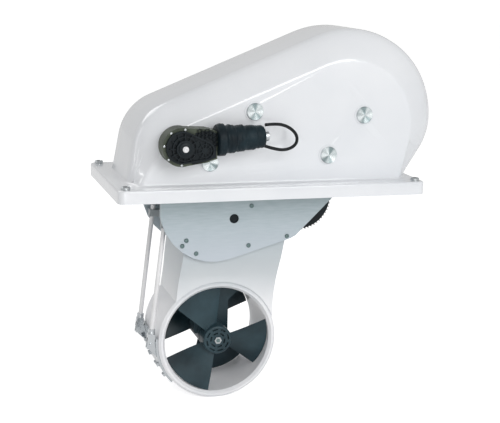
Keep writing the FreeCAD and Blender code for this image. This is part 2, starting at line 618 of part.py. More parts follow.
def propeller(y, firstBlade):
    """Three broad blades with straight radial edges on a slotted hub."""
    half = math.tan(math.radians(d.bladeAngle / 2))
    stations = [(12, 30, 7), (40, 24, 5), (68, 18, 4), (96, 13, d.bladeThick)]
    wires = [bladeSection(x, x * half / math.cos(math.radians(twist)) * 0.98 + 1, thick, twist)
             for x, twist, thick in stations]
    blade = Part.makeLoft(wires, True, False)
    blade.translate(Vector(0, y, 0))
    blades = []
    for k in range(3):
        turned = blade.copy()
        turned.rotate(Vector(), Vector(0, 1, 0), 90 - (firstBlade + 120 * k))
        turned.translate(Vector(d.tunnelX, 0, d.tunnelZ))
        blades.append(turned)
    face = -1 if y < 0 else 1
    hub = pin(d.hubRadius, y - d.hubLength / 2, y + d.hubLength / 2, *tunnel)
    front = y + face * d.hubLength / 2
    hubEdges = [edge for edge in hub.Edges
                if abs(edge.BoundBox.YMin - front) < 0.01 and abs(edge.BoundBox.YMax - front) < 0.01]
    hub = hub.makeFillet(3, hubEdges)
    whole = hub.fuse(blades).common(pin(d.propRadius, y - 40, y + 40, *tunnel))
    step = y + face * (d.hubLength / 2 - 4)
    whole = whole.cut([pin(d.propShaft, *sorted((y - face * 40, step)), *tunnel),
                       pin(d.studRadius, y - 40, y + 40, *tunnel)])
    slots = []
    for radius, count in ((19, 8), (12, 6)):
        for k in range(count):
            sector = Part.makeCylinder(radius + 1.3, 5, Vector(*[tunnel[0], front - face * 4, tunnel[1]]),
                                       Vector(0, face, 0), 230 / count)
            sector = sector.cut(Part.makeCylinder(radius - 1.3, 5, Vector(tunnel[0], front - face * 4, tunnel[1]),
                                                  Vector(0, face, 0)))
            sector.rotate(Vector(tunnel[0], 0, tunnel[1]), Vector(0, 1, 0), 360 / count * k)
            slots.append(sector)
    return whole.cut(slots)


node("propeller_near", feature(propeller(-d.propOffset, -8.5)))
node("propeller_far", feature(propeller(d.propOffset, 49)))
nuts = []
for side in (-1, 1):
    start = d.propOffset + d.hubLength / 2
    hexagon = [polar(tunnel, d.nutRadius, 60 * k) for k in range(6)]
    y0, y1 = sorted((side * start, side * (start + 2.8)))
    nuts.append(slab(hexagon, y0, y1).cut(pin(d.studRadius, y0 - 1, y1 + 1, *tunnel)))
node("propeller_nuts", feature(Part.makeCompound(nuts)))

# ---------------------------------------------------------------- actuator
gearboxFront = -d.actuatorFace - d.gearboxDepth
smallLobe = (output[0] + d.lobeAcross, output[1] - d.lobeDrop)
lobe = (output[0] - 4, output[1] + 2)


sleeveZ = (smallLobe[1] + 15, smallLobe[1] + 19.5)
sleeveX = (smallLobe[0] + d.sleeveStart, smallLobe[0] + d.sleeveStart + d.sleeveLength)


def actuatorMotor():
    """Motor under its wrapped sleeve: a collar, a tapering barrel and soft bands."""
    start = Vector(sleeveX[0], d.sleeveY, sleeveZ[0])
    along = Vector(sleeveX[1] - sleeveX[0], 0, sleeveZ[1] - sleeveZ[0])
    length = along.Length
    profile = [(0, 0), (25, 0), (27, 5), (26, 12), (22.5, 15), (23.5, 26), (21.5, 30), (22, 44), (20, 48),
               (20.5, 62), (18.5, 66), (18.5, length - 3), (15, length), (0, length)]
    points = [Vector(r, 0, s) for r, s in profile]
    solid = Part.Face(Part.makePolygon(points + points[:1])).revolve(Vector(), Vector(0, 0, 1), 360)
    solid.Placement = Placement(start, Rotation(Vector(0, 0, 1), along))
    return solid


def coverForm(inset, y0, y1):
    """The outline round both lobes, drawn in by an inset."""
    middle = (y0 + y1) / 2
    return beltLoop(middle, lobe, d.lobeRadius - 5 - inset, smallLobe, d.smallLobe - 4 - inset, 0, y1 - y0)


def rimScrews():
    """Screws round the rim of the gearbox's big lobe."""
    return [pin(2.2, gearboxFront - 2, gearboxFront + 6, *polar(lobe, d.lobeRadius - 2.6, angle))
            for angle in (80, 128, 175, 222, 270)]


def actuatorGearbox():
    back, front = -d.actuatorFace, gearboxFront
    big = pin(d.lobeRadius, front, back, *lobe)
    small = pin(d.smallLobe, front, back, *smallLobe)
    web = slab([(lobe[0], lobe[1] + 30), (smallLobe[0] + 6, smallLobe[1] + 34), (smallLobe[0] + 21, smallLobe[1] + 30),
                (smallLobe[0] + 21, smallLobe[1] - 14), (smallLobe[0], smallLobe[1] - 20),
                (lobe[0], lobe[1] - 31)], front, back)
    body = big.fuse([small, web]).removeSplitter()
    hollow = pin(d.outputShaft + d.fitGap, front - 1, back + 1, *output)
    return body.cut([hollow, pin(d.outputShaft + 6, back - 8, back + 1, *output), actuatorMotor(),
                     coverForm(0, front - 1, front + 3)] + rimScrews())


node("actuator_gearbox", feature(actuatorGearbox()))


def ribbedCover():
    """One cover over both lobes: a floor, a raised rim, and a web of ribs between round walls."""
    back, front = gearboxFront + 3, gearboxFront - 5
    rim = coverForm(d.fitGap, front, back).cut(coverForm(2.6, front - 1, back + 1))
    inside = coverForm(2, front + 1, back)
    ribs = []
    for centre, reach, count in ((output, 24, 12), (smallLobe, 16, 9)):
        for k in range(count):
            rib = Part.makeBox(reach, 4, 1.6, Vector(0, front + 1, -0.8))
            rib.rotate(Vector(), Vector(0, 1, 0), 360 / count * k)
            rib.translate(Vector(centre[0], 0, centre[1]))
            ribs.append(rib)
    walls = [ring(d.outputShaft + 5, d.outputShaft, front - 2, back, *output),
             ring(20, 18.4, front + 1, back, *output), ring(5, 3, front + 1, back, *smallLobe),
             ring(11, 9.6, front + 1, back, *smallLobe)]
    web = ribs[0].fuse(ribs[1:] + walls[1:]).common(inside)
    floor = coverForm(1, front + 4.5, back)
    whole = floor.fuse([rim, web, walls[0]])
    return whole.cut(pin(d.outputShaft + d.fitGap, front - 5, back + 1, *output))


node("actuator_cover", feature(ribbedCover()))
node("actuator_motor", feature(actuatorMotor()))
boss = Part.makeCylinder(8, 7, Vector(sleeveX[1], d.sleeveY, sleeveZ[1]), Vector(1, 0, 0.056))
node("actuator_end_boss", feature(boss))
node("actuator_screws", feature(Part.makeCompound(rimScrews())))

node("shaft_seal", tube("outputShaft + 4", "outputShaft + fitGap", "10", f"{output[0]}",
                        "-actuatorFace + 2", f"{output[1]}"))
node("output_shaft", rod("outputShaft", "actuatorFace + gearboxDepth + 9 - plateInner", f"{output[0]}",
                         "-(actuatorFace + gearboxDepth + 9)", f"{output[1]}"))
node("shaft_screw", feature(pin(6, gearboxFront - 13, gearboxFront - 9, *output)))
pinionPhase = d.meshAngle + 180 + 180 / d.pinionTeeth
teeth = gearPoints(output, int(d.pinionTeeth), d.toothSlack, 0, int(d.pinionTeeth), pinionPhase)
pinion = slab(teeth, -d.plateInner - d.plateThick - 1, -d.plateInner)
node("drive_pinion", feature(pinion.cut(pin(d.outputShaft, -120, -40, *output))))

# ---------------------------------------------------------------- lead of the actuator motor
leadPoints = [Vector(-24, d.sleeveY, 122), Vector(-3, d.sleeveY, 124), Vector(17, d.sleeveY, 118),
              Vector(31, d.sleeveY, 105), Vector(31, d.sleeveY, 90), Vector(17, d.sleeveY, 81),
              Vector(-3, d.sleeveY, 81), Vector(-24, d.sleeveY, 88)]


def cordTube(points, radius):
    """Straight runs joined by tangent arcs, each arc as large as its two runs allow."""
    edges, last = [], points[0]
    for before, corner, after in zip(points, points[1:], points[2:]):
        runs = (corner - before).Length, (after - corner).Length
        a, b = (before - corner).normalize(), (after - corner).normalize()
        turn = math.pi - a.getAngle(b)
        tangent = 0.45 * min(runs)
        bend = tangent / math.tan(turn / 2)
        print(f"lead bend radius {bend:.1f}")
        middle = (a + b).normalize()
        centre = corner + middle * (bend / math.cos(turn / 2))
        start, end = corner + a * tangent, corner + b * tangent
        edges.append(Part.makeLine(last, start))
        edges.append(Part.Arc(start, centre - middle * bend, end).toShape())
        last = end
    edges.append(Part.makeLine(last, points[-1]))
    path = Part.Wire(edges)
    along = points[1] - points[0]
    section = Part.Wire(Part.makeCircle(radius, points[0], along))
    solid = path.makePipeShell([section], True, False)
    print(f"lead volume {solid.Volume:.0f}, section times length {math.pi * radius ** 2 * path.Length:.0f}")
    return solid


node("actuator_lead", feature(cordTube(leadPoints, d.leadRadius)))

# ---------------------------------------------------------------- closure rods and bracket
rods, forks, forkPins = [], [], []
rodFoot = (d.tunnelX - outerRing - d.lugStand, d.tunnelZ - d.lugDrop)
rodTop = (d.rodTopX, d.rodTopZ)
for side in (-1, 1):
    y = side * d.rodHalf
    foot, top = Vector(rodFoot[0], y, rodFoot[1]), Vector(rodTop[0], y, rodTop[1])
    along = top - foot
    unit = Vector(along).normalize()
    rods.append(Part.makeCylinder(d.rodRadius, along.Length - 12, foot + unit * 12, unit))
    fork = Part.makeBox(12, 12, 26, Vector(-6, -6, -8))
    fork = fork.fuse(Part.makeCylinder(6, 8, Vector(0, 0, 18)))
    fork = fork.cut([Part.makeBox(14, 6, 20, Vector(-7, -3, -9)),
                     Part.makeCylinder(d.rodRadius, 20, Vector(0, 0, 12)),
                     Part.makeCylinder(2.5, 20, Vector(0, -10, 0), Vector(0, 1, 0))])
    fork.Placement = Placement(foot, Rotation(Vector(0, 0, 1), along))
    forks.append(fork)
    forkPins.append(pin(2.5, y - 8, y + 8, *rodFoot))
node("closure_rods", feature(Part.makeCompound(rods)))
node("rod_clevises", feature(Part.makeCompound(forks)))
node("clevis_pins", feature(Part.makeCompound(forkPins)))


def closureBracket():
    """A curved strap on the tunnel's lower left with two lugs for the rods."""
    strap = ring(outerRing + 4, outerRing + d.fitGap, -55, 55, *tunnel)
    keep = slab([tunnel, polar(tunnel, 150, 176), polar(tunnel, 150, 222)], -55, 55)
    strap = strap.common(keep)
    lugs = []
    for side in (-1, 1):
        y = side * d.rodHalf
        lug = slab([polar(tunnel, outerRing + 2, 179),
                    (rodFoot[0] - 6, rodFoot[1] + 5), (rodFoot[0] - 6, rodFoot[1] - 6),
                    polar(tunnel, outerRing + 2, 196)], y - 2.7, y + 2.7)
        lugs.append(lug.fuse(pin(7, y - 2.7, y + 2.7, *rodFoot)))
    body = strap.fuse(lugs).cut(pin(outerRing + d.fitGap, -60, 60, *tunnel))
    return body.cut([pin(2.5, -60, 60, *rodFoot)] + bracketStuds(outerRing - 5, 14, 2.5))


def bracketStuds(start, length, radius):
    found = []
    for angle in (190, 204, 216):
        for y in (-32, 32):
            x, z = polar(tunnel, start, angle)
            way = Vector(math.cos(math.radians(angle)), 0, math.sin(math.radians(angle)))
            found.append(Part.makeCylinder(radius, length, Vector(x, y, z), way))
    return found


node("closure_bracket", feature(closureBracket()))
shanks, heads = bracketStuds(outerRing, 4, 2.5), bracketStuds(outerRing + 4, 4, 4.5)
bracketBolts = [shank.fuse(head) for shank, head in zip(shanks, heads)]
node("bracket_bolts", feature(Part.makeCompound(bracketBolts)))
holders = []
legFace = [(-130.7, -62), (-128.4, -50)]
for side, closureRod in zip((-1, 1), rods):
    y = side * d.rodHalf
    arm = slab([legFace[0], legFace[1], (rodTop[0] - 7, -48), (rodTop[0] - 8, -60)], y - 6, y + 6)
    holders.append(arm.cut(closureRod))
node("rod_brackets", feature(Part.makeCompound(holders)))

# ---------------------------------------------------------------- check and write
doc.recompute()
for item in doc.Objects:
    if "Invalid" in item.State or "Error" in item.State:
        raise RuntimeError(f"{item.Name} {item.Label} failed: {item.State}")
for item in nodes:
    if item.Shape.isNull() or not item.Shape.isValid():
        raise RuntimeError(f"{item.Label} has a bad shape")
os.makedirs("parts", exist_ok=True)
for item in nodes:
    item.Shape.exportStep(f"parts/{item.Label}.step")
    print(f"{item.Label:22s} solids {len(item.Shape.Solids):2d}  volume {item.Shape.Volume:10.0f}")
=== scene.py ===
import json
import math

import bmesh
import bpy
from mathutils import Matrix, Vector, noise


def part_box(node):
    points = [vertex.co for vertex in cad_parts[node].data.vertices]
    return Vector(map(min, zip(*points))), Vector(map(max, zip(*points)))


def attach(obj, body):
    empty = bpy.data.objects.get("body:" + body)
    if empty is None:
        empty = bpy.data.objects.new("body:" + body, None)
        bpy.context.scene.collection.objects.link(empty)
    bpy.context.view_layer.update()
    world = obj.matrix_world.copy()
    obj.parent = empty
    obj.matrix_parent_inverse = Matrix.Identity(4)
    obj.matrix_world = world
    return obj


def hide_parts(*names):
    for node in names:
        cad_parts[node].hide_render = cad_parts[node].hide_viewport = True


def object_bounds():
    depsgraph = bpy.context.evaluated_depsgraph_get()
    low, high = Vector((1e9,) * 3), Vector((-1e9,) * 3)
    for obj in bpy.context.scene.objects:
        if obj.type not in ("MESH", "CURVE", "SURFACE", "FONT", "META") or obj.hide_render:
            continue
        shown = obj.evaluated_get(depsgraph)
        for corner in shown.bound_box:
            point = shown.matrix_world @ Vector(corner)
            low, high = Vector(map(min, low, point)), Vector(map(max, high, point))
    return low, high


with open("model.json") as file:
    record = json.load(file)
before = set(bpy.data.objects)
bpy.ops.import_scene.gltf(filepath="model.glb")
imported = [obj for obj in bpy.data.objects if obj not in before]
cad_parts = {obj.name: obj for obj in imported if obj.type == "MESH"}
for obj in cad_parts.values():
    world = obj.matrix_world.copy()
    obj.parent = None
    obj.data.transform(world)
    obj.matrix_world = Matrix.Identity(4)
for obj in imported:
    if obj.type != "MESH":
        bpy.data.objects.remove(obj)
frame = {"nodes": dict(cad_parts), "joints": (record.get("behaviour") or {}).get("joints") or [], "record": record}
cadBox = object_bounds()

record = frame["record"]
bodyOf = {node: body for body, nodes in record["behaviour"]["bodies"].items() for node in nodes}
slotOf = {entry["node"]: entry["material_slot"] for entry in record["subparts"]}
mm = 0.001  # the dictionaries are in mm and degrees where no note says otherwise

# corners nearer than "dist" in metres are one corner, and faces within "flat" degrees are one face
merging = {"dist": 1e-6, "flat": 0.4}


# the camera stands to the left of the front and above the flange; "far" is in metres
cameraView = {"turn": 17.20, "tilt": 11.97, "roll": 1.42, "lens": 83.22, "sensor": 36, "far": 50,
              "place": (-588.0, -1887.0, 369.7)}


def makeCamera(settings):
    turn, tilt, roll = (math.radians(settings[key]) for key in ("turn", "tilt", "roll"))
    look = Vector((math.sin(turn) * math.cos(tilt), math.cos(turn) * math.cos(tilt), -math.sin(tilt)))
    right = look.cross(Vector((0, 0, 1))).normalized()
    up = right.cross(look)
    side = right * math.cos(roll) + up * math.sin(roll)
    top = up * math.cos(roll) - right * math.sin(roll)
    lens = bpy.data.cameras.new("camera")
    lens.lens, lens.sensor_width, lens.clip_end = settings["lens"], settings["sensor"], settings["far"]
    camera = bpy.data.objects.new("camera", lens)
    facing = Matrix((side, top, -look)).transposed().to_4x4()
    camera.matrix_world = Matrix.Translation(Vector(settings["place"]) * mm) @ facing
    bpy.context.collection.objects.link(camera)
    bpy.context.scene.camera = camera


makeCamera(cameraView)
print("camera placed")


# screen levels from 0 to 255 as the linear colour that a shader takes
def sRgb(*levels):
    linear = []
    for level in levels:
        share = level / 255
        linear.append(share / 12.92 if share <= 0.04045 else ((share + 0.055) / 1.055) ** 2.4)
    return (*linear, 1.0)


# a socket that takes + - * and **, each adding its Math node
class Wire:
    def __init__(self, finish, socket):
        self.finish, self.socket = finish, socket

    def math(self, operation, *values):
        return self.finish.math(operation, *values)

    def __add__(self, other):
        return self.math("ADD", self, other)

    def __radd__(self, other):
        return self.math("ADD", other, self)

    def __sub__(self, other):
        return self.math("SUBTRACT", self, other)

    def __rsub__(self, other):
        return self.math("SUBTRACT", other, self)

    def __mul__(self, other):
        return self.math("MULTIPLY", self, other)

    def __rmul__(self, other):
        return self.math("MULTIPLY", other, self)

    def __pow__(self, other):
        return self.math("POWER", self, other)


class Finish:
    def __init__(self, name):
        self.material = bpy.data.materials.new(name)
        self.material.use_nodes = True
        self.tree = self.material.node_tree
        self.tree.nodes.clear()
        self.shader = self.tree.nodes.new("ShaderNodeBsdfPrincipled")
        output = self.tree.nodes.new("ShaderNodeOutputMaterial")
        self.tree.links.new(self.shader.outputs[0], output.inputs[0])
        self.place = self.add("ShaderNodeTexCoord", {}, {}, "Object")

    def add(self, kind, settings, sockets, output=0):
        node = self.tree.nodes.new(kind)
        for key, value in settings.items():
            if key == "stops":
                self.fillRamp(node.color_ramp, value)
            else:
                setattr(node, key, value)
        for key, value in sockets.items():
            self.feed(node.inputs[key], value)
        return Wire(self, node.outputs[output])

    def fillRamp(self, ramp, stops):
        while len(ramp.elements) < len(stops):
            ramp.elements.new(0.5)
        for element, (position, level) in zip(ramp.elements, stops):
            element.position = position
            element.color = (level, level, level, 1)

    def feed(self, socket, value):
        if isinstance(value, Wire):
            self.tree.links.new(value.socket, socket)
        else:
            socket.default_value = value

    def math(self, operation, *values):
        return self.add("ShaderNodeMath", {"operation": operation}, dict(enumerate(values)))

    def noise(self, scale, detail, stretch=(1, 1, 1)):
        spot = self.add("ShaderNodeMapping", {}, {"Vector": self.place, "Scale": stretch})
        return self.add("ShaderNodeTexNoise", {}, {"Vector": spot, "Scale": scale, "Detail": detail})

    def ramp(self, value, *stops):
        return self.add("ShaderNodeValToRGB", {"stops": stops}, {0: value})

    def mix(self, factor, first, second):
        return self.add("ShaderNodeMix", {"data_type": "RGBA"}, {0: factor, 6: first, 7: second}, 2)

    def bump(self, height, strength, distance):
        return self.add("ShaderNodeBump", {}, {"Height": height, "Strength": strength, "Distance": distance})

    def axis(self, name):
        return self.add("ShaderNodeSeparateXYZ", {}, {0: self.place}, name)

    def set(self, **sockets):
        for key, value in sockets.items():
            self.feed(self.shader.inputs[key.replace("_", " ")], value)
        return self.material


# white moulded skin with a faint cloud and ripple
def gelcoat():
    look = Finish("gelcoat")
    cloud = look.ramp(look.noise(6, 3), (0.35, 0.0), (0.7, 1.0))
    ripple = look.noise(30, 2) * 0.7 + look.noise(260, 2) * 0.05
    tint = look.mix(cloud, sRgb(238, 240, 243), sRgb(230, 233, 237))
    return look.set(Base_Color=tint, Roughness=0.13 + look.noise(60, 3) * 0.05, Coat_Weight=0.6,
                    Coat_Roughness=0.03, Specular_IOR_Level=0.5, Normal=look.bump(ripple, 0.07, 0.002))


# grey painted shade under the flange, turning to whiter painted light towards the tunnel
def paintedAlloy():
    look = Finish("paintedAlloy")
    grain = look.noise(900, 2)
    soft = look.noise(14, 4)
    # painted shade under the flange fading by height into painted light towards the tunnel
    rise = look.ramp(look.axis("Z") * -2.4, (0.2, 0.0), (0.34, 0.35), (0.5, 1.0))
    tint = look.mix(rise, sRgb(180, 190, 194), sRgb(252, 252, 254))
    shade = look.mix(look.ramp(soft, (0.3, 0.0), (0.75, 0.3)), tint, sRgb(192, 200, 207))
    return look.set(Base_Color=shade, Roughness=0.3 + grain * 0.1, Metallic=0.0, Coat_Weight=0.25,
                    Coat_Roughness=0.15, Normal=look.bump(grain, 0.08, 0.0006))


# painted shade under the flange darkens the top, with streaks along its length
def sidePaint():
    look = Finish("sidePaint")
    streak = look.noise(40, 3, stretch=(1, 1, 8))
    grain = look.noise(1100, 2)
    # painted shade: darker towards the top, where the flange shades the plate
    low = look.ramp(look.axis("Z") * -8.0, (0.15, 0.0), (0.85, 1.0))
    tint = look.mix(low, sRgb(160, 176, 180), sRgb(192, 201, 209))
    shade = look.mix(look.ramp(streak, (0.3, 0.0), (0.7, 0.35)), tint, sRgb(200, 207, 213))
    return look.set(Base_Color=shade, Roughness=0.36 + grain * 0.12, Metallic=0.25,
                    Normal=look.bump(grain, 0.06, 0.0006))


def framePaint():
    look = Finish("framePaint")
    grain = look.noise(700, 3)
    worn = look.ramp(look.noise(30, 4), (0.45, 0.0), (0.75, 1.0))
    tint = look.mix(worn, sRgb(172, 178, 180), sRgb(150, 157, 160))
    return look.set(Base_Color=tint, Roughness=0.4 + grain * 0.12, Metallic=0.4,
                    Normal=look.bump(grain, 0.1, 0.0006))


# bare metal with fine level scratches; smears are darker than the tone by "drop"
def polished(name, level, tone, metal=1.0, drop=26):
    look = Finish(name)
    scratch = look.noise(220, 3, stretch=(1, 1, 9))
    smear = look.noise(24, 3)
    tint = look.mix(smear, sRgb(*tone), sRgb(*(value - drop for value in tone)))
    return look.set(Base_Color=tint, Metallic=metal, Roughness=level + scratch * 0.14,
                    Normal=look.bump(scratch, 0.05, 0.0003))


# each cap's middle (x, z) and the turn of its painted sheen in radians; lengths here are in metres
capSheen = {"caps": [((-0.107, 0.058), 0.4), ((-0.033, 0.140), 1.3), ((0.097, 0.066), 2.3),
                     ((0.158, 0.132), 1.0)],
            "reach": 0.016, "rings": 9000}


# painted highlights in light and dark wedges, and fine rings, round the middle of each cap
def spunStainless(sheen):
    look = Finish("spunStainless")
    paintedSheenWedges, rings = 0.0, 0.0
    for (x, z), phase in sheen["caps"]:
        dx, dz = look.axis("X") - x, look.axis("Z") - z
        away = (dx * dx + dz * dz) ** 0.5
        here = look.math("LESS_THAN", away, sheen["reach"])
        turn = look.math("ARCTAN2", dz, dx)
        # painted highlights: light and dark wedges standing in for the spun metal's reflections
        fan = look.math("SINE", turn * 2.0 + phase) * 0.5 + look.math("SINE", turn * 5.0 + 2 * phase) * 0.35
        paintedSheenWedges = paintedSheenWedges + here * (fan * 0.5 + 0.5)
        rings = rings + here * (look.math("SINE", away * sheen["rings"]) * 0.5 + 0.5)
    tint = look.mix(look.ramp(paintedSheenWedges, (0.2, 0.0), (0.8, 1.0)), sRgb(132, 146, 148), sRgb(226, 232, 233))
    return look.set(Base_Color=tint, Metallic=0.8, Roughness=0.24 + rings * 0.14,
                    Normal=look.bump(rings, 0.25, 0.0003))


def bronze():
    look = Finish("bronze")
    stain = look.noise(70, 4)
    tint = look.mix(stain, sRgb(178, 138, 84), sRgb(124, 92, 58))
    return look.set(Base_Color=tint, Metallic=1.0, Roughness=0.3 + stain * 0.2)


def blackPaint():
    look = Finish("blackPaint")
    grain = look.noise(520, 3)
    dust = look.ramp(look.noise(18, 4), (0.5, 0.0), (0.8, 1.0))
    tint = look.mix(dust, sRgb(18, 24, 28), sRgb(36, 46, 51))
    return look.set(Base_Color=tint, Roughness=0.4 + grain * 0.2, Specular_IOR_Level=0.2,
                    Normal=look.bump(grain, 0.15, 0.0006))


def blackPlastic():
    look = Finish("blackPlastic")
    grain = look.noise(1400, 2)
    haze = look.noise(26, 3)
    tint = look.mix(haze, sRgb(10, 16, 20), sRgb(24, 34, 39))
    return look.set(Base_Color=tint, Roughness=0.34 + grain * 0.18, Specular_IOR_Level=0.2,
                    Normal=look.bump(grain, 0.2, 0.0004))


def sleeveWrap():
    look = Finish("sleeveWrap")
    fold = look.noise(95, 4, stretch=(1.6, 1, 0.7))
    shine = look.ramp(look.noise(30, 3), (0.35, 0.0), (0.75, 1.0))
    tint = look.mix(shine, sRgb(12, 24, 30), sRgb(28, 46, 53))
    return look.set(Base_Color=tint, Roughness=0.4 + fold * 0.2, Specular_IOR_Level=0.18,
                    Normal=look.bump(fold, 0.5, 0.002))


def greyCasting():
    look = Finish("greyCasting")
    grain = look.noise(620, 3)
    tone = look.ramp(look.noise(34, 4), (0.3, 0.0), (0.7, 1.0))
    tint = look.mix(tone, sRgb(48, 55, 46), sRgb(84, 91, 78))
    return look.set(Base_Color=tint, Metallic=0.55, Roughness=0.42 + grain * 0.2,
                    Normal=look.bump(grain, 0.35, 0.0006))


def rubber():
    look = Finish("rubber")
    grain = look.noise(1600, 2)
    tint = look.mix(look.noise(40, 3), sRgb(20, 22, 24), sRgb(38, 41, 43))
    return look.set(Base_Color=tint, Roughness=0.5 + grain * 0.2, Specular_IOR_Level=0.2,
                    Normal=look.bump(grain, 0.15, 0.0003))


def bladeComposite():
    look = Finish("bladeComposite")
    flow = look.ramp(look.noise(16, 4), (0.3, 0.0), (0.72, 1.0))
    grain = look.noise(800, 2)
    tint = look.mix(flow, sRgb(22, 40, 47), sRgb(52, 74, 82))
    return look.set(Base_Color=tint, Roughness=0.26 + flow * 0.12 + grain * 0.08, Specular_IOR_Level=0.32,
                    Normal=look.bump(grain, 0.1, 0.0004))


# a CAD piece takes the finish of its material slot, unless ownFinish names another
finishes = {
    "gelcoat": gelcoat(), "painted_alloy": paintedAlloy(), "side": sidePaint(), "frame_plate": framePaint(),
    "stainless": polished("stainless", 0.2, (196, 200, 202)), "bronze": bronze(),
    "black_motor": blackPaint(), "black_plastic": blackPlastic(), "sleeve": sleeveWrap(),
    "grey_casting": greyCasting(), "rubber": rubber(), "blade_composite": bladeComposite(),
    "steel": polished("steel", 0.3, (170, 172, 175)), "caps": spunStainless(capSheen),
    "screw": polished("screw", 0.34, (128, 146, 146)),
    "bright": polished("bright", 0.16, (250, 250, 251), 0.15),
    "chrome": polished("chrome", 0.1, (206, 210, 213)),
}
ownFinish = {
    "near_side_plate": "side", "far_side_plate": "side", "closure_rods": "bright",
    "rod_clevises": "chrome", "closure_bracket": "chrome", "clevis_pins": "chrome",
    "output_shaft": "steel", "propeller_shaft": "screw",
}
print("finishes made")

# how wide each CAD piece's edges are softened, and from what angle on
softEdges = {
    "housing_shell": {"bevel": 1.2, "angle": 32}, "leg_casting": {"bevel": 0.8, "angle": 30},
    "near_side_plate": {"bevel": 0.6, "angle": 30}, "far_side_plate": {"bevel": 0.6, "angle": 30},
    "frame_cheek_near": {"bevel": 0.5, "angle": 30}, "frame_cheek_far": {"bevel": 0.5, "angle": 30},
    "propeller_near": {"bevel": 0.35, "angle": 35}, "propeller_far": {"bevel": 0.35, "angle": 35},
    "actuator_gearbox": {"bevel": 1.2, "angle": 30}, "closure_bracket": {"bevel": 0.4, "angle": 30},
    "rod_clevises": {"bevel": 0.4, "angle": 30}, "thruster_motor": {"bevel": 0.3, "angle": 30},
    "motor_end_bell": {"bevel": 0.4, "angle": 30}, "drive_pinion": {"bevel": 0.2, "angle": 30},
}
plainEdge = {"bevel": 0.25, "angle": 30}


def addPiece(name, shape, body, finish, slot, bevel=0.0, angle=30):
    mesh = bpy.data.meshes.new(name)
    shape.to_mesh(mesh)
    shape.free()
    for face in mesh.polygons:
        face.use_smooth = True
    mesh.set_sharp_from_angle(angle=math.radians(angle))
    piece = bpy.data.objects.new(name, mesh)
    bpy.context.collection.objects.link(piece)
    mesh.materials.append(finishes[finish])
    if bevel:
        edge = piece.modifiers.new("softEdge", "BEVEL")
        edge.width, edge.segments, edge.limit_method = bevel * mm, 2, "ANGLE"
        edge.angle_limit = math.radians(angle)
        edge.harden_normals = True
    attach(piece, body)
    return piece


# a CAD piece's loose triangles joined into whole faces
def cadShape(node):
    shape = bmesh.new()
    shape.from_mesh(frame["nodes"][node].data)
    bmesh.ops.remove_doubles(shape, verts=shape.verts, dist=merging["dist"])
    bmesh.ops.dissolve_limit(shape, angle_limit=math.radians(merging["flat"]), verts=shape.verts,
                             edges=shape.edges)
    return shape


# a rounded root where the moulding meets the top of its flange; "steep" is in radians
housingRoot = {"level": 21.5, "within": 0.05, "weld": 0.3, "steep": 1.0, "offset": 4, "segments": 4,
               "halfLength": 257, "halfWidth": 112, "roundFrom": 215, "clear": 8}


def filletRoot(shape, size):
    def onTop(vert):
        return abs(vert.co.z / mm - size["level"]) < size["within"]

    def inner(vert):
        return abs(vert.co.x) < size["halfLength"] * mm and abs(vert.co.y) < size["halfWidth"] * mm

    # small faces crowd the foot of the round end, where the fillet needs room
    low, high = size["level"] + size["within"], size["level"] + size["clear"]
    crowd = []
    for vert in shape.verts:
        if low < vert.co.z / mm < high and vert.co.x > size["roundFrom"] * mm:
            crowd.append(vert)
    bmesh.ops.dissolve_verts(shape, verts=crowd)
    rim = [vert for vert in shape.verts if onTop(vert)]
    bmesh.ops.remove_doubles(shape, verts=rim, dist=size["weld"] * mm)
    edges = []
    for edge in shape.edges:
        onRoot = all(onTop(vert) and inner(vert) for vert in edge.verts)
        if onRoot and edge.calc_face_angle(0) > size["steep"]:
            edges.append(edge)
    bmesh.ops.bevel(shape, geom=edges, offset=size["offset"] * mm, offset_type="OFFSET", affect="EDGES",
                    segments=size["segments"], profile=0.5, material=-1, clamp_overlap=False)


# the leg's faces sink below the side plates, then flare out to the tunnel's lip
legSaddle = {"axis": (-74.7, -259.8), "lip": 103.5, "proud": 60.9, "waist": 58.6, "reach": 24, "wide": 65.6,
             "from": -112, "to": -160, "rows": range(-232, -84, 6), "columns": range(-168, 44, 6),
             "outside": 57.5, "below": -87}


def cutAcross(shape, place, across):
    everything = shape.verts[:] + shape.edges[:] + shape.faces[:]
    bmesh.ops.bisect_plane(shape, geom=everything, dist=merging["dist"], plane_co=place, plane_no=across)


def saddleLeg(shape, size):
    for z in size["rows"]:
        cutAcross(shape, (0, 0, z * mm), (0, 0, 1))
    for x in size["columns"]:
        cutAcross(shape, (x * mm, 0, 0), (1, 0, 0))
    for vert in shape.verts:
        x, y, z = vert.co / mm
        if abs(y) < size["outside"] or z > size["below"]:
            continue
        away = math.hypot(x - size["axis"][0], z - size["axis"][1]) - size["lip"]
        share = min(max((size["from"] - z) / (size["from"] - size["to"]), 0), 1)
        face = size["wide"] + (size["waist"] - size["wide"]) * share * share * (3 - 2 * share)
        near = 1 - min(max(away / size["reach"], 0), 1)
        flare = size["waist"] + (size["proud"] - size["waist"]) * near * near
        vert.co.y = math.copysign(min(max(face, flare), size["wide"]) * mm, y)


reshape = {"housing_shell": (filletRoot, housingRoot), "leg_casting": (saddleLeg, legSaddle)}


# a CAD piece copied with softened edges and its finish
def softCopy(node):
    settings = softEdges.get(node, plainEdge)
    finish = ownFinish.get(node, slotOf[node])
    shape = cadShape(node)
    if node in reshape:
        change, size = reshape[node]
        change(shape, size)
    piece = addPiece(node + "_form", shape, bodyOf[node], finish, slotOf[node], **settings)
    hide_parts(node)


# the loop of lead at the end of the actuator's motor, with its length in metres
lead = {"points": [(-24, 122), (-3, 124), (17, 118), (31, 105), (31, 90), (17, 81), (-3, 81), (-24, 88)],
        "y": -135, "radius": 2.6, "length": 0.137}


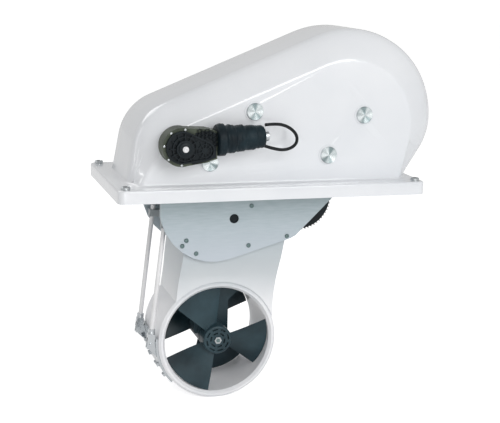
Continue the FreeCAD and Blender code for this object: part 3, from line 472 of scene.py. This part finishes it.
def makeLead(settings):
    curve = bpy.data.curves.new("actuatorLead", "CURVE")
    curve.dimensions = "3D"
    line = curve.splines.new("NURBS")
    line.points.add(len(settings["points"]) - 1)
    for point, (x, z) in zip(line.points, settings["points"]):
        point.co = (x * mm, settings["y"] * mm, z * mm, 1)
    line.order_u, line.use_endpoint_u, line.resolution_u = 3, True, 16
    curve.bevel_depth, curve.bevel_resolution = settings["radius"] * mm, 6
    curve.use_fill_caps = True
    piece = bpy.data.objects.new("actuatorLead", curve)
    bpy.context.collection.objects.link(piece)
    curve.materials.append(finishes["rubber"])
    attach(piece, "housing")
    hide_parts("actuator_lead")


makeLead(lead)
print("lead laid")


# the box of each separate solid in a CAD piece, from left to right
def islandBoxes(node):
    shape = cadShape(node)
    waiting, boxes = set(shape.verts), []
    while waiting:
        front = [waiting.pop()]
        low, high = front[0].co.copy(), front[0].co.copy()
        while front:
            corner = front.pop()
            low = Vector(map(min, low, corner.co))
            high = Vector(map(max, high, corner.co))
            for edge in corner.link_edges:
                other = edge.other_vert(corner)
                if other in waiting:
                    waiting.discard(other)
                    front.append(other)
        boxes.append((low, high))
    shape.free()
    return sorted(boxes, key=lambda box: [round(value, 5) for value in box[0]])


# spins (radius, height) pairs in mm round the axis Z, then stands them at a place
def turned(profile, place, direction, steps, closed=False):
    shape = bmesh.new()
    corners = [shape.verts.new((radius * mm, 0, height * mm)) for radius, height in profile]
    pairs = list(zip(corners, corners[1:])) + ([(corners[-1], corners[0])] if closed else [])
    edges = [shape.edges.new(pair) for pair in pairs]
    bmesh.ops.spin(shape, geom=corners + edges, cent=(0, 0, 0), axis=(0, 0, 1), steps=steps,
                   angle=2 * math.pi, use_merge=True)
    bmesh.ops.remove_doubles(shape, verts=shape.verts, dist=merging["dist"])
    bmesh.ops.recalc_face_normals(shape, faces=shape.faces)
    turn = Vector(direction).to_track_quat("Z", "X").to_matrix().to_4x4()
    bmesh.ops.transform(shape, matrix=Matrix.Translation(place) @ turn, verts=shape.verts)
    return shape


def gather(shapes):
    whole = bmesh.new()
    for shape in shapes:
        part = bpy.data.meshes.new("part")
        shape.to_mesh(part)
        shape.free()
        whole.from_mesh(part)
        bpy.data.meshes.remove(part)
    return whole


# socket-headed screws of the side plates; a head's underside lies "seat" in from the CAD screw's end
plateScrew = {"head": 3.9, "tall": 1.8, "straight": 0.45, "slope": 0.7, "socket": 2.0, "lip": 0.3,
              "deep": 1.3, "shank": 2.5, "seat": 2, "steps": 24}


def makePlateScrews(size):
    shapes = []
    head, top, socket, shank = size["head"], size["tall"], size["socket"], size["shank"]
    form = [(shank, 0), (head, 0), (head, top * size["straight"]), (head - size["slope"], top),
            (socket + size["lip"], top), (socket, top - size["lip"]), (socket, top - size["deep"]),
            (0, top - size["deep"])]
    for low, high in islandBoxes("plate_screws"):
        near = low.y < 0
        middle = (low + high) / 2
        middle.y = low.y + size["seat"] * mm if near else high.y - size["seat"] * mm
        tip = -(high.y - low.y - size["seat"] * mm) / mm
        profile = [(0, tip), (shank, tip)] + form
        shapes.append(turned(profile, middle, (0, -1 if near else 1, 0), size["steps"]))
    piece = addPiece("plateScrewsSocketed", gather(shapes), "leg", "screw", "stainless")
    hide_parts("plate_screws")


# a spun cap: "rim" goes in from its edge and "dimple" out from its middle, each with a depth below the face
capShape = {"rim": [(0, 0.7), (0.28, 0.25), (0.7, 0), (2.2, 0.25)],
            "dimple": [(1.1, 0.25), (0.66, 0.8), (0, 0.9)], "steps": 56}


def makePanelCaps(size):
    shapes = []
    for low, high in islandBoxes("panel_caps"):
        near = low.y < 0
        radius, thick = (high.x - low.x) / 2 / mm, (high.y - low.y) / mm
        middle = (low + high) / 2
        middle.y = high.y if near else low.y
        profile = [(0, 0), (radius, 0)]
        profile += [(radius - inset, thick - below) for inset, below in size["rim"]]
        profile += [(away, thick - below) for away, below in size["dimple"]]
        shapes.append(turned(profile, middle, (0, -1 if near else 1, 0), size["steps"]))
    piece = addPiece("panelCapsSpun", gather(shapes), "housing", "caps", "stainless")
    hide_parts("panel_caps")


flangeBush = {"bore": record["mounts"][0]["dims"]["hole_r_mm"], "chamfer": 0.8, "steps": 40}


def makeFlangeBushes(size):
    shapes = []
    bore, chamfer = size["bore"], size["chamfer"]
    for low, high in islandBoxes("flange_bushes"):
        radius, tall = (high.x - low.x) / 2 / mm, (high.z - low.z) / mm
        profile = [(bore, 0), (radius, 0), (radius, tall - chamfer), (radius - chamfer, tall),
                   (bore + chamfer, tall), (bore, tall - chamfer)]
        middle = (low + high) / 2
        middle.z = low.z
        shapes.append(turned(profile, middle, (0, 0, 1), size["steps"], True))
    piece = addPiece("flangeBushesTurned", gather(shapes), "housing", "stainless", "stainless")
    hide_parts("flange_bushes")


# pan-headed screws of the actuator; a head's underside lies "seat" in from the CAD screw's end
actuatorScrew = {"profile": [(0, -6), (1.6, -6), (1.6, 0), (2.2, 0), (2.2, 0.8), (1.7, 1.4), (1.1, 1.5),
                             (0.9, 0.6), (0, 0.6)],
                 "seat": 2, "steps": 20}


def makeActuatorScrews(size):
    shapes = []
    for low, high in islandBoxes("actuator_screws"):
        middle = (low + high) / 2
        middle.y = low.y + size["seat"] * mm
        shapes.append(turned(size["profile"], middle, (0, -1, 0), size["steps"]))
    piece = addPiece("actuatorScrewsPanHead", gather(shapes), "housing", "stainless", "stainless")
    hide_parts("actuator_screws")


# six-sided heads on washers, standing out from the tunnel ring; heights start at its outside
bracketBolt = {"ring": 103.5, "head": [(0, 4), (4.9, 4), (4.9, 7.4), (4.1, 8), (0, 8)], "sides": 6,
               "washer": [(0, 3.7), (5.6, 3.7), (5.6, 4.4), (0, 4.4)], "steps": 28}


def makeBracketBolts(size):
    shapes = []
    ringLow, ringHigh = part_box("tunnel_ring")
    axis = (ringLow + ringHigh) / 2
    for low, high in islandBoxes("bracket_bolts"):
        middle = (low + high) / 2
        out = Vector((middle.x - axis.x, 0, middle.z - axis.z))
        foot = Vector((axis.x, middle.y, axis.z)) + out.normalized() * size["ring"] * mm
        shapes.append(turned(size["head"], foot, out, size["sides"]))
        shapes.append(turned(size["washer"], foot, out, size["steps"]))
    piece = addPiece("bracketBoltsHex", gather(shapes), "leg", "chrome", "stainless")
    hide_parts("bracket_bolts")


# wrinkled sleeve over the actuator's motor: "wall" holds (radius, height) pairs, and "wrinkles" are a broad
# and a fine set, weakest at the collar
sleeve = {"start": (-105, -135, 99), "end": (-25, -135, 103.5), "steps": 96, "rows": 96, "firstRow": 0.05,
          "length": 79.8, "throat": 10, "mouth": 8, "core": 12, "fold": 0.9, "sink": 0.5,
          "wrinkles": [{"around": 1.3, "along": 0.21, "shift": 0, "share": 1},
                       {"around": 3.1, "along": 0.5, "shift": 7, "share": 0.35}],
          "collar": 12, "collarReach": 8, "weakest": 0.35,
          "wall": [(24, 0), (26, 2), (26.5, 6), (26, 12), (23, 15), (22.6, 18), (23.8, 22), (23, 28),
                   (21.4, 31), (22, 38), (22, 43), (20.2, 47), (20.6, 55), (20.4, 62), (18.9, 66), (18.8, 75),
                   (17.6, 78.4), (14.5, 79.9)]}


# the wall's radius at a height, eased from one pair to the next
def wallRadius(wall, height):
    before = max((pair for pair in wall if pair[1] <= height), key=lambda pair: pair[1], default=wall[0])
    after = min((pair for pair in wall if pair[1] > height), key=lambda pair: pair[1], default=wall[-1])
    share = (height - before[1]) / ((after[1] - before[1]) or 1)
    smooth = share * share * (3 - 2 * share)
    return before[0] + (after[0] - before[0]) * smooth


def wrinkle(vert, size):
    out = Vector((vert.co.x, vert.co.y, 0)).normalized()
    height = vert.co.z / mm
    depth = 0
    for wave in size["wrinkles"]:
        around = wave["around"]
        spot = Vector((out.x * around, out.y * around, height * wave["along"] + wave["shift"]))
        depth += noise.noise(spot) * size["fold"] * wave["share"]
    free = min(1.0, abs(height - size["collar"]) / size["collarReach"])
    strength = size["weakest"] + (1 - size["weakest"]) * free
    vert.co += out * (depth - size["sink"]) * mm * strength


def makeSleeve(size):
    start, end = Vector(size["start"]) * mm, Vector(size["end"]) * mm
    wall = size["wall"]
    heights = [row * size["length"] / size["rows"] + size["firstRow"] for row in range(size["rows"] + 1)]
    profile = [(0, 0), (size["throat"], 0)]
    profile += [(wallRadius(wall, height), height) for height in heights]
    profile += [(size["mouth"], wall[-1][1]), (0, wall[-1][1])]
    shape = turned(profile, (0, 0, 0), (0, 0, 1), size["steps"])
    for vert in shape.verts:
        if math.hypot(vert.co.x, vert.co.y) >= size["core"] * mm:
            wrinkle(vert, size)
    turn = (end - start).to_track_quat("Z", "X").to_matrix().to_4x4()
    bmesh.ops.transform(shape, matrix=Matrix.Translation(start) @ turn, verts=shape.verts)
    piece = addPiece("actuatorSleeve", shape, "housing", "sleeve", "black_motor", angle=60)
    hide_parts("actuator_motor")


# a plate with honeycomb cells on the actuator's front; "shaft" and "lobe" are radii that cells keep out of
web = {"outline": [(-146, 62), (-126, 66), (-107, 72), (-107, 111), (-121, 115), (-141, 112)], "back": -144,
       "thick": 1.4, "pitch": 7.2, "across": 0.87, "cell": 3.9, "wall": 0.8, "tall": 3.4, "sunk": 0.2,
       "sides": 6, "rows": 7, "columns": 6, "first": (-141, 69), "shaft": 31, "lobe": 19,
       "lobeMiddle": (-126, 84), "right": -109, "top": {"z": 117, "x": -121, "fall": 0.4},
       "foot": {"z": 64, "x": -146, "rise": 0.27}}


def cellFits(x, z, axis, size):
    top, foot, lobe = size["top"], size["foot"], size["lobeMiddle"]
    clearShaft = math.hypot(x - axis.x / mm, z - axis.z / mm) > size["shaft"]
    clearLobe = math.hypot(x - lobe[0], z - lobe[1]) > size["lobe"]
    underTop = z < top["z"] - max(0, x - top["x"]) * top["fall"]
    overFoot = z > foot["z"] + (x - foot["x"]) * foot["rise"]
    return clearShaft and clearLobe and x < size["right"] and underTop and overFoot


def makeCoverWeb(size):
    shape = bmesh.new()
    corners = [shape.verts.new((x * mm, size["back"] * mm, z * mm)) for x, z in size["outline"]]
    face = shape.faces.new(corners)
    made = bmesh.ops.extrude_face_region(shape, geom=[face])
    raised = [item for item in made["geom"] if isinstance(item, bmesh.types.BMVert)]
    bmesh.ops.translate(shape, verts=raised, vec=(0, -size["thick"] * mm, 0))
    bmesh.ops.recalc_face_normals(shape, faces=shape.faces)
    shapes = [shape]
    low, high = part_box("output_shaft")
    axis = (low + high) / 2
    bore, front = size["cell"] - size["wall"], size["back"] - size["thick"] + size["sunk"]
    profile = [(bore, 0), (size["cell"], 0), (size["cell"], size["tall"]), (bore, size["tall"])]
    for row in range(size["rows"]):
        for column in range(size["columns"]):
            x = size["first"][0] + column * size["pitch"] * size["across"]
            z = size["first"][1] + (row + 0.5 * (column % 2)) * size["pitch"]
            if cellFits(x, z, axis, size):
                cell = turned(profile, (x * mm, front * mm, z * mm), (0, -1, 0), size["sides"], True)
                shapes.append(cell)
    addPiece("actuatorCoverWeb", gather(shapes), "housing", "black_plastic", "black_plastic", bevel=0.2)


# the boss that turns with the output shaft, and the screw on its washer in the middle of it
shaftEnd = {"boss": [(0, -4.5), (9.6, -4.5), (10.6, -4), (10.2, 0), (8.4, 0.7), (5.6, 0.8), (5.2, 0.2),
                     (0, 0.2)],
            "bossSteps": 40,
            "screw": [(0, 0.2), (4.9, 0.2), (4.9, 1.1), (3.8, 1.1), (3.8, 3.4), (3.2, 4), (1.7, 4),
                      (1.6, 2.4), (0, 2.4)],
            "screwSteps": 32}


def makeShaftEnd(size):
    low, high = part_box("output_shaft")
    middle = (low + high) / 2
    front = Vector((middle.x, low.y, middle.z))
    boss = turned(size["boss"], front, (0, -1, 0), size["bossSteps"])
    addPiece("outputShaftBoss", boss, "actuator_output", "black_plastic", "black_plastic")
    screw = turned(size["screw"], front, (0, -1, 0), size["screwSteps"])
    piece = addPiece("outputShaftScrew", screw, "actuator_output", "bright", "stainless")
    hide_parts("shaft_screw")


# plugs in the side plates over the leg's pivot, "seat" in from each plate's face
pivotPlug = {"profile": [(0, -4), (7.9, -4), (7.9, 0.2), (7.3, 0.7), (6.2, 0.7), (5.6, 0.1), (0, 0.1)],
             "seat": 1.2, "steps": 36}


def makePivotPlugs(size):
    joint = Vector(next(entry["pos_m"] for entry in frame["joints"] if entry["name"] == "leg_swing"))
    shapes = []
    for node, side in (("near_side_plate", -1), ("far_side_plate", 1)):
        low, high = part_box(node)
        face = low.y if side < 0 else high.y
        place = (joint.x, face - side * size["seat"] * mm, joint.z)
        shapes.append(turned(size["profile"], place, (0, side, 0), size["steps"]))
    addPiece("pivotPlugs", gather(shapes), "leg", "black_plastic", "rubber")


# cooling fins round the motor's end bell; "back" and "front" are measured in from its near end
fins = {"count": 60, "inner": 52, "outer": 56.8, "wide": 1.3, "back": 1.0, "front": 12.5}


def makeMotorFins(size):
    low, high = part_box("motor_end_bell")
    middle = (low + high) / 2
    place = Matrix.Translation((middle.x, low.y + (size["front"] + size["back"]) / 2 * mm, middle.z))
    form = ((size["outer"] - size["inner"]) * mm, (size["front"] - size["back"]) * mm, size["wide"] * mm)
    shapes = []
    for step in range(size["count"]):
        fin = bmesh.new()
        bmesh.ops.create_cube(fin, size=1)
        bmesh.ops.scale(fin, vec=form, verts=fin.verts)
        bmesh.ops.translate(fin, verts=fin.verts, vec=((size["outer"] + size["inner"]) / 2 * mm, 0, 0))
        turn = Matrix.Rotation(2 * math.pi * step / size["count"], 4, "Y")
        bmesh.ops.transform(fin, matrix=place @ turn, verts=fin.verts)
        shapes.append(fin)
    addPiece("motorCoolingFins", gather(shapes), "leg", "black_motor", "black_motor", bevel=0.25)


makePlateScrews(plateScrew)
makePanelCaps(capShape)
makeFlangeBushes(flangeBush)
makeActuatorScrews(actuatorScrew)
makeBracketBolts(bracketBolt)
makeSleeve(sleeve)
makeCoverWeb(web)
makeShaftEnd(shaftEnd)
makePivotPlugs(pivotPlug)
makeMotorFins(fins)
print("detailed pieces made")

# the pieces above take the place of these
detailed = ("actuator_lead", "plate_screws", "panel_caps", "flange_bushes", "actuator_screws",
            "bracket_bolts", "actuator_motor", "shaft_screw")
for node in frame["nodes"]:
    if node not in detailed:
        softCopy(node)
print("frame pieces finished")

# the floor lies "drop" metres below the object, and is brighter for camera and glossy rays
room = {"drop": 0.0004, "size": 14, "tone": (244, 244, 244), "rough": 0.9, "camera": 0.6, "glossy": 0.25}


def makeFloor(settings):
    shape = bmesh.new()
    bmesh.ops.create_grid(shape, x_segments=1, y_segments=1, size=settings["size"])
    bmesh.ops.translate(shape, verts=shape.verts, vec=(0, 0, cadBox[0][2] - settings["drop"]))
    mesh = bpy.data.meshes.new("floor")
    shape.to_mesh(mesh)
    shape.free()
    floor = bpy.data.objects.new("floor", mesh)
    bpy.context.collection.objects.link(floor)
    look = Finish("floorPaper")
    seen = look.add("ShaderNodeLightPath", {}, {}, "Is Camera Ray")
    shiny = look.add("ShaderNodeLightPath", {}, {}, "Is Glossy Ray")
    look.set(Base_Color=sRgb(*settings["tone"]), Roughness=settings["rough"], Emission_Color=(1, 1, 1, 1),
             Emission_Strength=seen * settings["camera"] + shiny * settings["glossy"])
    mesh.materials.append(look.material)


# strength of the white surroundings, and how much more of it glossy and camera rays see
ambient = {"plain": 0.46, "glossy": 0.16, "camera": 0.6}


def makeSky(settings):
    world = bpy.data.worlds.new("studio")
    bpy.context.scene.world = world
    world.use_nodes = True
    sky = world.node_tree
    background = sky.nodes["Background"]
    rays = sky.nodes.new("ShaderNodeLightPath")
    shiny, strength = sky.nodes.new("ShaderNodeMath"), sky.nodes.new("ShaderNodeMath")
    for step, ray, key in ((shiny, "Is Glossy Ray", "glossy"), (strength, "Is Camera Ray", "camera")):
        step.operation = "MULTIPLY_ADD"
        sky.links.new(rays.outputs[ray], step.inputs[0])
        step.inputs[1].default_value = settings[key]
    shiny.inputs[2].default_value = settings["plain"]
    sky.links.new(shiny.outputs[0], strength.inputs[2])
    sky.links.new(strength.outputs[0], background.inputs["Strength"])
    background.inputs["Color"].default_value = (1, 1, 1, 1)


# places and sizes in metres, power in watts
lamps = {
    "key": {"place": (0.5, -2.6, 1.2), "power": 35, "size": 1.6, "tall": 1.6},
    "strip": {"place": (-2.2, 0.5, 0.7), "power": 2.2, "size": 0.12, "tall": 1.1},
    "rim": {"place": (-1.2, 1.6, 1.6), "power": 9, "size": 1.2, "tall": 1.2},
    "low": {"place": (-0.5, -2.2, -0.5), "power": 6, "size": 1.0, "tall": 0.8},
}
lampTarget = Vector((0, 0, -0.05))


def makeLamp(name, settings):
    light = bpy.data.lights.new(name, "AREA")
    light.shape = "RECTANGLE"
    light.energy, light.size, light.size_y = settings["power"], settings["size"], settings["tall"]
    lamp = bpy.data.objects.new(name, light)
    lamp.location = settings["place"]
    aim = lampTarget - Vector(settings["place"])
    lamp.rotation_euler = aim.to_track_quat("-Z", "Y").to_euler()
    bpy.context.collection.objects.link(lamp)


makeFloor(room)
makeSky(ambient)
for name, settings in lamps.items():
    makeLamp(name, settings)
bpy.context.scene.view_settings.view_transform = "Standard"
print("room lit")
